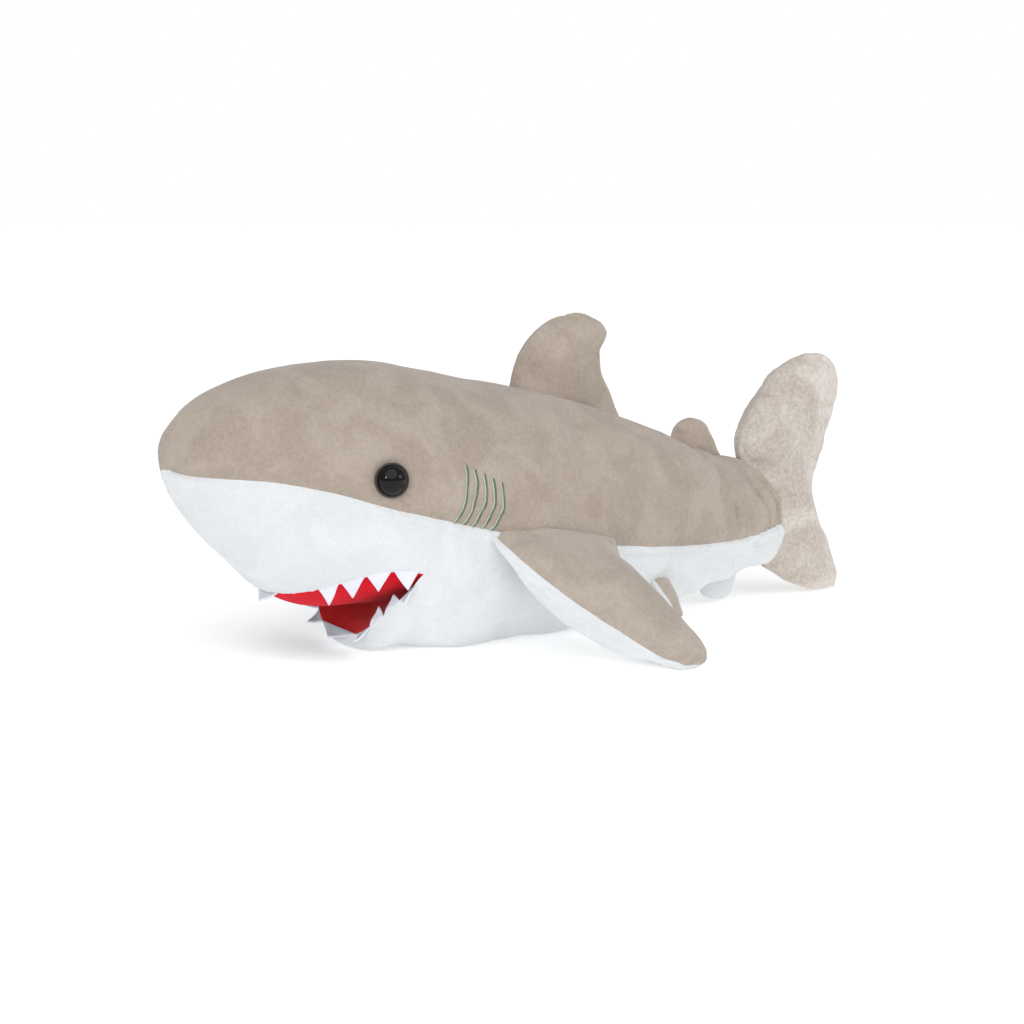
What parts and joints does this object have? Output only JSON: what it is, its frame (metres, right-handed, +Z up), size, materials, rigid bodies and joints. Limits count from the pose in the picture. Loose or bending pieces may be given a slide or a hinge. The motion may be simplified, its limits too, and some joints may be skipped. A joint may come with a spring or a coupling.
{
  "type": "stuffed toy shark",
  "caption": "Stuffed plush shark lying on its belly with an open felt-lined mouth, two-colour plush skin, domed eyes and soft stuffed fins.",
  "frame": {"origin": "on the ground, at the middle of the toy's footprint", "axes": "+Z up; +Y from the nose to the tail; +X towards the shark's left side"},
  "size_m": [0.3934, 0.589, 0.235],
  "materials": {
    "taupe_plush": "short-pile grey-brown plush, brushed nap",
    "pale_taupe_plush": "the same plush with the nap brushed the light way",
    "white_plush": "short-pile white plush",
    "red_felt": "red felt",
    "white_felt": "stiff white felt",
    "stuffing": "polyester fibre filling",
    "eye_plastic": "polished black safety eye with a dark brown edge",
    "washer_plastic": "moulded white washer",
    "gill_thread": "grey-green embroidery thread"
  },
  "bodies": {
    "body": {"back_panel": "taupe_plush", "snout_panel": "white_plush", "belly_panel": "white_plush", "body_filling": "stuffing", "palate_lining": "red_felt", "upper_teeth": "white_felt", "eye_left": "eye_plastic", "eye_right": "eye_plastic", "eye_washer_left": "washer_plastic", "eye_washer_right": "washer_plastic", "gill_stitching_left": "gill_thread", "gill_stitching_right": "gill_thread"},
    "jaw": {"chin_panel": "white_plush", "chin_filling": "stuffing", "jaw_lining": "red_felt", "lower_teeth": "white_felt"},
    "dorsal_fin": {"dorsal_fin_left_panel": "taupe_plush", "dorsal_fin_right_panel": "taupe_plush", "dorsal_fin_filling": "stuffing"},
    "rear_dorsal_fin": {"rear_dorsal_fin_left_panel": "taupe_plush", "rear_dorsal_fin_right_panel": "taupe_plush", "rear_dorsal_fin_filling": "stuffing"},
    "tail_fin": {"tail_fin_left_panel": "pale_taupe_plush", "tail_fin_right_panel": "pale_taupe_plush", "tail_fin_filling": "stuffing"},
    "pectoral_left": {"pectoral_left_top_panel": "taupe_plush", "pectoral_left_bottom_panel": "white_plush", "pectoral_left_filling": "stuffing"},
    "pectoral_right": {"pectoral_right_top_panel": "taupe_plush", "pectoral_right_bottom_panel": "white_plush", "pectoral_right_filling": "stuffing"},
    "pelvic_left": {"pelvic_left_outer_panel": "taupe_plush", "pelvic_left_inner_panel": "white_plush", "pelvic_left_filling": "stuffing"},
    "pelvic_right": {"pelvic_right_outer_panel": "taupe_plush", "pelvic_right_inner_panel": "white_plush", "pelvic_right_filling": "stuffing"},
    "anal_fin": {"anal_fin_left_panel": "white_plush", "anal_fin_right_panel": "white_plush", "anal_fin_filling": "stuffing"}
  },
  "joints": [
    {"name": "jaw_close", "type": "hinge", "parent": "body", "child": "jaw", "pos_m": [0, -0.13, 0.062], "axis": [-1, 0, 0], "range_deg": [0, 12], "stiffness_Nm_per_rad": 0.2},
    {"name": "dorsal_fin_sway", "type": "hinge", "parent": "body", "child": "dorsal_fin", "pos_m": [0, -0.018, 0.182], "axis": [0, 0.9668, -0.2557], "range_deg": [-20, 20], "stiffness_Nm_per_rad": 0.1},
    {"name": "rear_dorsal_fin_sway", "type": "hinge", "parent": "body", "child": "rear_dorsal_fin", "pos_m": [0, 0.127, 0.1414], "axis": [0, 0.93, -0.3677], "range_deg": [-15, 15], "stiffness_Nm_per_rad": 0.02},
    {"name": "tail_fin_swing", "type": "hinge", "parent": "body", "child": "tail_fin", "pos_m": [0, 0.238, 0.06], "axis": [0, 0, 1], "range_deg": [-20, 20], "stiffness_Nm_per_rad": 0.2},
    {"name": "pectoral_left_flap", "type": "hinge", "parent": "body", "child": "pectoral_left", "pos_m": [0.0958, -0.086, 0.091], "axis": [0.0472, -0.9809, 0.1886], "range_deg": [0, 45], "stiffness_Nm_per_rad": 0.05},
    {"name": "pectoral_right_flap", "type": "hinge", "parent": "body", "child": "pectoral_right", "pos_m": [-0.0958, -0.086, 0.091], "axis": [0.0472, 0.9809, -0.1886], "range_deg": [0, 45], "stiffness_Nm_per_rad": 0.05},
    {"name": "pelvic_left_flap", "type": "hinge", "parent": "body", "child": "pelvic_left", "pos_m": [0.0668, 0.063, 0.033], "axis": [0.3154, -0.9394, 0.1342], "range_deg": [0, 25], "stiffness_Nm_per_rad": 0.01},
    {"name": "pelvic_right_flap", "type": "hinge", "parent": "body", "child": "pelvic_right", "pos_m": [-0.0668, 0.063, 0.033], "axis": [0.3154, 0.9394, -0.1342], "range_deg": [0, 25], "stiffness_Nm_per_rad": 0.01},
    {"name": "anal_fin_sway", "type": "hinge", "parent": "body", "child": "anal_fin", "pos_m": [0, 0.155, 0.0115], "axis": [0, 1, 0], "range_deg": [-15, 15], "stiffness_Nm_per_rad": 0.01}
  ]
}
